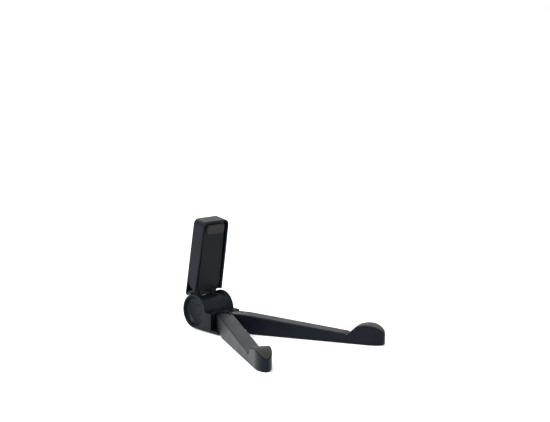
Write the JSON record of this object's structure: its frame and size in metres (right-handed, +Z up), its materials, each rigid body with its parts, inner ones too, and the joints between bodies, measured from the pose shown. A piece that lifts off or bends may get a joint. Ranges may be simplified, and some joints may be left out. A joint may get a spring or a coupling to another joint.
{
  "type": "tablet stand",
  "caption": "Folding desk stand for a tablet: leaning back arm on a barrel hinge, and swing-out legs that fan forward and end in soft upturned hooks.",
  "frame": {"origin": "point on the table under the hinge barrel's axis, midway between the legs", "axes": "+Z up from the table; -Y towards the user, where the legs reach; +X to the right of someone at the back of a device that looks along +Y"},
  "size_m": [0.1374, 0.1633, 0.097],
  "materials": {
    "plastic": "satin",
    "panel_plastic": "matte",
    "rubber": "matte",
    "steel": "brushed"
  },
  "bodies": {
    "housing": {"housing_shell": "plastic", "base_plate": "plastic", "left_end_cap": "plastic", "right_end_cap": "plastic", "hinge_pin": "steel", "left_detent_ball": "steel", "right_detent_ball": "steel", "detent_spring": "steel", "base_screw_1": "steel", "base_screw_2": "steel", "base_screw_3": "steel", "rear_foot_pad": "rubber", "left_pivot_screw": "steel", "right_pivot_screw": "steel", "left_pivot_washer": "steel", "right_pivot_washer": "steel"},
    "arm": {"arm_shell": "plastic", "arm_front_panel": "panel_plastic", "arm_tip_pad": "rubber", "arm_screw_1": "steel", "arm_screw_2": "steel"},
    "left_leg": {"left_leg": "plastic", "left_hook_pad": "rubber", "left_sole_pad": "rubber"},
    "right_leg": {"right_leg": "plastic", "right_hook_pad": "rubber", "right_sole_pad": "rubber"}
  },
  "joints": [
    {"name": "arm_fold", "type": "hinge", "parent": "housing", "child": "arm", "pos_m": [0, 0, 0.0163], "axis": [1, 0, 0], "range_deg": [-20, 81]},
    {"name": "left_leg_swing", "type": "hinge", "parent": "housing", "child": "left_leg", "pos_m": [-0.007, -0.0295, 0], "axis": [0, 0, 1], "range_deg": [0, 26.5]},
    {"name": "right_leg_swing", "type": "hinge", "parent": "housing", "child": "right_leg", "pos_m": [0.007, -0.0295, 0], "axis": [0, 0, 1], "range_deg": [-26.5, 0]}
  ]
}
